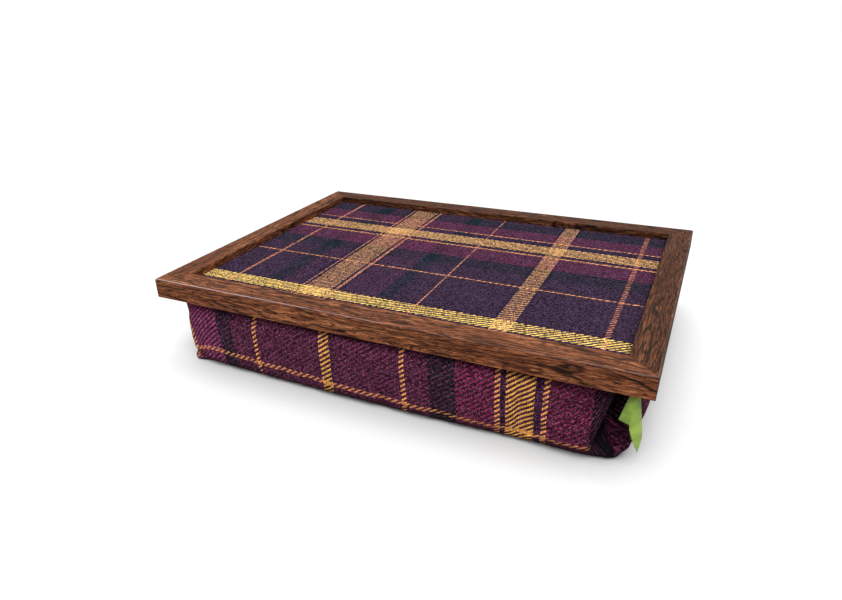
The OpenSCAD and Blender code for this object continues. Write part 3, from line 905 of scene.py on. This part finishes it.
def long_waves(points, scale, seed):
    """A few long crossed waves, as the soft unevenness of the filling; from -1 to 1."""
    wave = np.zeros(len(points))
    dice = random.Random(seed)
    for _ in range(9):
        direction = np.array([dice.gauss(0, 1) for _ in range(3)])
        direction /= np.linalg.norm(direction)
        wave += np.sin(points @ direction / (scale * dice.uniform(0.7, 1.6))
                       + dice.uniform(0, 6.28)) / 4.5
    return wave


def vertex_normals(piece):
    normals = np.zeros(len(piece.data.vertices) * 3)
    piece.data.vertex_normals.foreach_get("vector", normals)
    return normals.reshape(-1, 3)


def crumple(piece):
    """Small creases of the sewn cover: puckers at the top seam, fans round the fold, a tuck."""
    points = vertex_array(piece)
    x, y, z = points.T
    sides = past(z, 0, 8) * ease((RIM_Z - z) / (3 * MM)) * (1 - near_zip(points))
    push = 0.9 * MM * long_waves(points, 15 * MM, 3) * sides
    push += 0.35 * MM * long_waves(points, 5 * MM, 8) * sides
    round_place = np.arctan2(y * CUSHION_W / CUSHION_D, x) * 180 * MM
    puckers = np.sin(round_place / (2.1 * MM) + 2.0 * np.sin(round_place / (13 * MM)))
    push += 0.5 * MM * puckers * ease((z - (RIM_Z - 15 * MM)) / (12 * MM)) * sides
    # Fan of small folds over the lobe, round the low end of the crease
    from_x = x - 186 * MM
    from_z = z - 15 * MM
    spread = np.hypot(from_x, from_z)
    turn = np.arctan2(from_z, from_x)
    lobe = past(spread, 5, 6) * (1 - past(spread, 20, 9))
    lobe *= past(from_x, -4, 8) * past(-y, 120, 14)
    push += 0.7 * MM * np.sin(turn * 15) * lobe * past(z, 0, 9)
    # The tuck low on the front left corner
    tuck = hump((z - (8 * MM + 0.1 * (x + 200 * MM))) / (4.5 * MM)) * (1 - past(x, -194, 26))
    push -= 1.7 * MM * tuck * past(-y, 120, 20)
    points = points + vertex_normals(piece) * push[:, None]
    points[:, 2] = np.maximum(points[:, 2], 0.0)
    set_vertices(piece, points)


def cut_slot(piece):
    """Opens the zip's slot in the back: its edges are drawn to the slot's, its faces go."""
    points = vertex_array(piece)
    back = points[:, 1] > BACK_Y - 6 * MM
    inside = back & (np.abs(points[:, 0]) < SLOT_END + 3 * MM)
    for edge in (ZIP_Z - SLOT_HALF, ZIP_Z + SLOT_HALF):
        row = row_nearest(points[back, 2], edge)
        points[inside & (np.abs(points[:, 2] - row) < 0.05 * MM), 2] = edge
    for edge in (-SLOT_END, SLOT_END):
        row = row_nearest(points[back & (np.abs(points[:, 2] - ZIP_Z) < 9 * MM), 0], edge)
        near = back & (np.abs(points[:, 0] - row) < 0.4 * MM)
        points[near & (np.abs(points[:, 2] - ZIP_Z) < SLOT_HALF + 0.1 * MM), 0] = edge
    set_vertices(piece, points)
    with editing(piece) as work:
        gone = []
        for face in work.faces:
            centre = face.calc_center_median()
            if (centre.y > BACK_Y - 6 * MM and abs(centre.x) < SLOT_END
                    and abs(centre.z - ZIP_Z) < SLOT_HALF):
                gone.append(face)
        bmesh.ops.delete(work, geom=gone, context="FACES")


def row_nearest(values, target):
    return values[np.argmin(np.abs(values - target))]


def make_cover():
    points, faces, uvs = form_mesh(0.0, NX, NY, NH, unfold=True)
    piece = new_piece("tartan_cover", points, faces, "cushion_cover", uvs)
    weld(piece)
    puff(piece)
    crumple(piece)
    cut_slot(piece)
    smooth = piece.modifiers.new("smooth", "SUBSURF")
    smooth.levels = 1
    smooth.render_levels = 1
    thicken(piece, CLOTH_T - 0.15 * MM)
    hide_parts("cushion_cover")
    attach(piece, "cushion")


def make_lining():
    """The lining panel that closes the cushion under the tray."""
    grid = level_grid(NX, NY, RIM_Z, 0.0, 0.0, RIM_Z)
    grid[:, :, 2] = CUSHION_TOP - 0.15 * MM
    points, faces = [], []
    add_patch(points, faces, grid)
    flat = np.array(points)
    flat[:, 2] -= 0.1 * MM * (1 + long_waves(flat, 9 * MM, 5))
    piece = new_piece("lining_panel", flat, faces, "cushion_top_panel")
    thicken(piece, 0.8 * MM)
    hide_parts("cushion_top_panel")
    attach(piece, "cushion")


def clear_of_fold(spots):
    """Draws the filling back from the fold at the front right corner."""
    deep = 9 * MM * near_fold(spots) * ease(spots[:, 2] / (12 * MM))
    return spots + deep[:, None] * np.array([-0.7, 0.7, 0.0])


def filling_piece(name, material, skin, steps, low, high, bulges):
    """A closed form inside the cover, pushed out by bulges and drawn back from the fold."""
    points, faces, _ = form_mesh(skin, *steps, low, high, closed=True)
    piece = new_piece(name, points, faces, material)
    weld(piece)
    spots = vertex_array(piece)
    spots += vertex_normals(piece) * bulges(spots)[:, None]
    set_vertices(piece, clear_of_fold(spots))
    return piece


def make_filling():
    """The liner and, inside it, the loose beads."""
    dice = random.Random(4)
    bag = filling_piece("inner_liner", "inner_bag", BAG_SKIN, (60, 44, 12), 1.5 * MM, RIM_Z - 0.4 * MM,
                        lambda spots: 0.3 * MM * (long_waves(spots, 6 * MM, 21) - 1))
    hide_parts("inner_bag")
    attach(bag, "cushion")
    beads = filling_piece("bead_heap", "bead_fill", BEAD_SKIN + 0.4 * MM, (90, 66, 16), 2.7 * MM,
                          RIM_Z - 2.4 * MM,
                          lambda spots: 0.6 * MM * np.array([dice.uniform(-1, 0.3) for _ in spots]))
    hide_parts("bead_fill")
    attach(beads, "cushion")


def make_tray_cloth():
    """The tartan on the tray's board."""
    low, high = INLAY_LOW, INLAY_HIGH
    xs = np.linspace(low[0], high[0], 140)
    ys = np.linspace(low[1], high[1], 100)
    x, y = np.meshgrid(xs, ys)
    spots = np.stack([x, y, np.full(x.shape, high[2])], axis=-1)
    flat = spots.reshape(-1, 3)
    flat[:, 2] -= 0.05 * MM * (1 + long_waves(flat, 8 * MM, 12))
    points, faces = [], []
    add_patch(points, faces, spots)
    piece = new_piece("tray_tartan", points, faces, "tartan_inlay")
    thicken(piece, high[2] - low[2] - 0.15 * MM)
    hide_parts("tartan_inlay")
    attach(piece, "tray")


# Outline of the folded label in millimetres: from its root in the seam to the fold, and from the
# fold to the free edge of the longer leaf
LABEL_ROOT = [(193.5, -145.6, 62.6), (193.7, -145.9, 60.4)]
LABEL_SHORT = [(203.8, -150.5, 63.0), (197.4, -152.4, 39.6)]
LABEL_FOLD = [(207.6, -153.6, 63.4), (206.8, -155.4, 52.0), (205.4, -157.0, 40.1),
              (208.4, -156.6, 28.5), (212.8, -153.4, 16.3)]
LABEL_EDGE = [(209.4, -149.6, 63.4), (210.9, -149.2, 52.0), (212.6, -149.2, 41.0),
              (214.3, -150.3, 27.5), (212.9, -153.2, 16.2)]


def curve_through(knots, count):
    """Evenly numbered points on a smooth curve through the knots."""
    knots = np.array(knots)
    t = np.linspace(0, len(knots) - 1, count)
    k = np.minimum(t.astype(int), len(knots) - 2)
    f = (t - k)[:, None]
    before = knots[np.maximum(k - 1, 0)]
    after = knots[np.minimum(k + 2, len(knots) - 1)]
    a, b = knots[k], knots[k + 1]
    return 0.5 * (2 * a + (b - before) * f + (2 * before - 5 * a + 4 * b - after) * f ** 2
                  + (3 * a - before - 3 * b + after) * f ** 3)


def make_label():
    """The folded ribbon tab at the front right corner: a short leaf, a fold and a longer leaf."""
    rows, columns = 40, 12
    fold = curve_through(LABEL_FOLD, rows) * MM
    edge = curve_through(LABEL_EDGE, rows) * MM
    t = np.linspace(0, 1, columns)[None, :, None]
    long_leaf = between(fold[:, None], edge[:, None], t)
    bulge = np.sin(np.pi * t[..., 0]) * np.sin(np.pi * np.linspace(0, 1, rows))[:, None]
    long_leaf[:, :, 1] -= 1.1 * MM * bulge
    long_leaf[:, :, 0] += 0.5 * MM * bulge
    short_rows = 24
    down = np.linspace(0, 1, short_rows)[:, None]
    share = np.linspace(0, 1, 4)[:, None]
    root = between(*np.array(LABEL_ROOT), share)
    middle = between(*np.array(LABEL_SHORT), down)
    upper_fold = curve_through(LABEL_FOLD[:3], short_rows)
    t_inner = np.linspace(0, 1, 16)[None, :, None]
    t_outer = np.linspace(0, 1, 10)[None, :, None]
    neck = between(root[:, None], middle[:4, None], t_inner) * MM
    outer = between(middle[:, None], upper_fold[:, None], t_outer) * MM
    swell = np.sin(np.pi * t_outer[..., 0]) * np.sin(np.pi * down)
    outer[:, :, 1] -= 0.5 * MM * swell
    points, faces, uvs = [], [], []

    def leaf(grid, from_u):
        width = lengths(grid[0])
        drop = np.linalg.norm(grid[-1, -1] - grid[0, -1])
        cloth = np.stack(np.meshgrid(from_u + width, drop * np.linspace(0, 1, len(grid))), axis=-1)
        add_patch(points, faces, grid, True, uvs, cloth)
        return from_u + width[-1]

    u = leaf(neck, 0.0)
    u = leaf(outer, u)
    leaf(long_leaf, u)
    piece = new_piece("bare_label", points, faces, "side_label", uvs)
    weld(piece, 0.3 * MM)
    thicken(piece, 0.5 * MM, offset=0)
    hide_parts("side_label")
    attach(piece, "cushion")


def thread_piece(name, stitches, radius, material, body):
    """Stitches as short bent threads; each stitch is a start, an end and an outward direction."""
    points, faces = [], []
    sides = 6
    for begin, end, out in stitches:
        begin, end, out = np.array(begin), np.array(end), np.array(out)
        along = end - begin
        length = np.linalg.norm(along)
        along = along / length
        across = np.cross(along, out)
        across = across / np.linalg.norm(across)
        rings = []
        for t, height, thick in ((0.0, -0.7, 0.7), (0.18, 0.25, 1.0), (0.5, 0.6, 1.1),
                                 (0.82, 0.25, 1.0), (1.0, -0.7, 0.7)):
            centre = begin + along * length * t + out * radius * height
            start = len(points)
            for k in range(sides):
                a = 2 * math.pi * k / sides
                points.append(centre + radius * thick * (math.cos(a) * across + math.sin(a) * out))
            rings.append(start)
        for first, second in zip(rings, rings[1:]):
            for k in range(sides):
                n = (k + 1) % sides
                faces.append([first + k, first + n, second + n, second + k])
        faces.append([rings[0] + k for k in range(sides)][::-1])
        faces.append([rings[-1] + k for k in range(sides)])
    piece = new_piece(name, points, faces, material)
    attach(piece, body)
    return piece


def line_stitches(start, end, out, pitch=3.6 * MM, gap=0.22):
    """Stitches in a row from start to end."""
    start, end = np.array(start), np.array(end)
    count = max(1, int(round(np.linalg.norm(end - start) / pitch)))
    step = (end - start) / count
    return [(start + step * (k + gap / 2), start + step * (k + 1 - gap / 2), out)
            for k in range(count)]


def make_stitches():
    """The zip's two rows of stitches, the closing seam round the top and those of the strips."""
    rows = []
    plane = BACK_Y + 0.25 * MM
    side, low, high = SLOT_END + 4 * MM, ZIP_Z - 9.5 * MM, ZIP_Z + 9.5 * MM
    for left, bottom, right, top in ((-side, low, side, low), (-side, high, side, high),
                                     (-side, low, -side, high), (side, low, side, high)):
        rows += line_stitches((left, plane, bottom), (right, plane, top), (0, 1, 0))
    thread_piece("zip_stitches", rows, 0.38 * MM, "thread", "cushion")
    seam = []
    for side in range(4):
        u = np.linspace(-1, 1, 2400)
        edge = side_point(side, u, np.full(u.shape, RIM_Z), 3.0 * MM, 0.0, RIM_Z)
        edge[:, 2] = CUSHION_TOP + 0.05 * MM
        length = lengths(edge)
        count = int(length[-1] / (3.4 * MM))
        marks = np.linspace(0, length[-1], count * 2 + 1)
        spots = np.stack([np.interp(marks, length, edge[:, k]) for k in range(3)], axis=1)
        seam += [(spots[2 * k], spots[2 * k] + (spots[2 * k + 1] - spots[2 * k]) * 1.5, (0, 0, 1))
                 for k in range(count)]
    thread_piece("seam_stitches", seam, 0.32 * MM, "thread", "cushion")
    strips = []
    half_long, half_short, half_w = 140 * MM, 75 * MM, 12.5 * MM
    right, back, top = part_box("loop_strips")[1]
    for sign in (-1, 1):
        strips += frame_stitches(0, sign * (back - half_w), half_long, half_w, top + 0.02 * MM)
        strips += frame_stitches(sign * (right - half_w), 0, half_w, half_short, top + 0.02 * MM)
    thread_piece("strip_stitches", strips, 0.22 * MM, "dark_thread", "cushion")


def frame_stitches(x, y, half_x, half_y, z, inset=2.2 * MM):
    """Stitches round a strip, a little in from its edge."""
    ax, ay = half_x - inset, half_y - inset
    corners = [(x - ax, y - ay, z), (x + ax, y - ay, z), (x + ax, y + ay, z), (x - ax, y + ay, z)]
    rows = []
    for k in range(4):
        rows += line_stitches(corners[k], corners[(k + 1) % 4], (0, 0, 1), 2.8 * MM)
    return rows


def main():
    dress_nodes()
    make_cover()
    make_lining()
    make_filling()
    make_tray_cloth()
    make_label()
    make_stitches()
    make_camera()
    make_light()
    make_floor()


# Camera, light and floor

CAMERA_AT = (0.2324, -0.5506, 0.3102)
CAMERA_TURN = 0.4387
CAMERA_DOWN = 0.4351
CAMERA_ROLL = -0.0209
CAMERA_LENS = 27.53


def make_camera():
    data = bpy.data.cameras.new("camera")
    data.lens = CAMERA_LENS
    data.sensor_width = 36
    data.clip_start = 0.01
    camera = added(bpy.data.objects.new("camera", data))
    turn = (Matrix.Rotation(CAMERA_TURN, 4, "Z") @ Matrix.Rotation(math.pi / 2 - CAMERA_DOWN, 4, "X")
            @ Matrix.Rotation(CAMERA_ROLL, 4, "Z"))
    camera.matrix_world = Matrix.Translation(CAMERA_AT) @ turn
    bpy.context.scene.camera = camera


def soft_sun(name, come_from, power, spread):
    """A wide, even light from far away; come_from is the way towards it."""
    data = bpy.data.lights.new(name, "SUN")
    data.energy = power
    data.angle = math.radians(spread)
    light = added(bpy.data.objects.new(name, data))
    light.rotation_euler = Vector(come_from).to_track_quat("Z", "Y").to_euler()


def make_light():
    bpy.context.scene.view_settings.view_transform = "Standard"
    soft_sun("key", (0.75, -1.5, 2.6), 2.85, 36)
    soft_sun("back_fill", (0.1, 0.5, 1.5), 0.5, 30)
    world = bpy.data.worlds.new("studio")
    bpy.context.scene.world = world
    world.use_nodes = True
    nodes = world.node_tree.nodes
    link = world.node_tree.links.new
    back = nodes["Background"]
    back.inputs["Color"].default_value = (1, 1, 1, 1)
    ray = nodes.new("ShaderNodeLightPath")
    either = nodes.new("ShaderNodeMath")
    either.operation = "MAXIMUM"
    link(ray.outputs["Is Camera Ray"], either.inputs[0])
    link(ray.outputs["Is Transmission Ray"], either.inputs[1])
    level = nodes.new("ShaderNodeMapRange")
    level.inputs["To Min"].default_value = 0.4
    link(either.outputs[0], level.inputs["Value"])
    link(level.outputs[0], back.inputs["Strength"])


def make_floor():
    size = 6.0
    mesh = bpy.data.meshes.new("floor")
    mesh.from_pydata([(-size, -size, 0), (size, -size, 0), (size, size, 0), (-size, size, 0)],
                     [], [(0, 1, 2, 3)])
    mesh.materials.append(floor_material())
    floor = added(bpy.data.objects.new("floor", mesh))
    floor.location.z = -0.3 * MM


main()
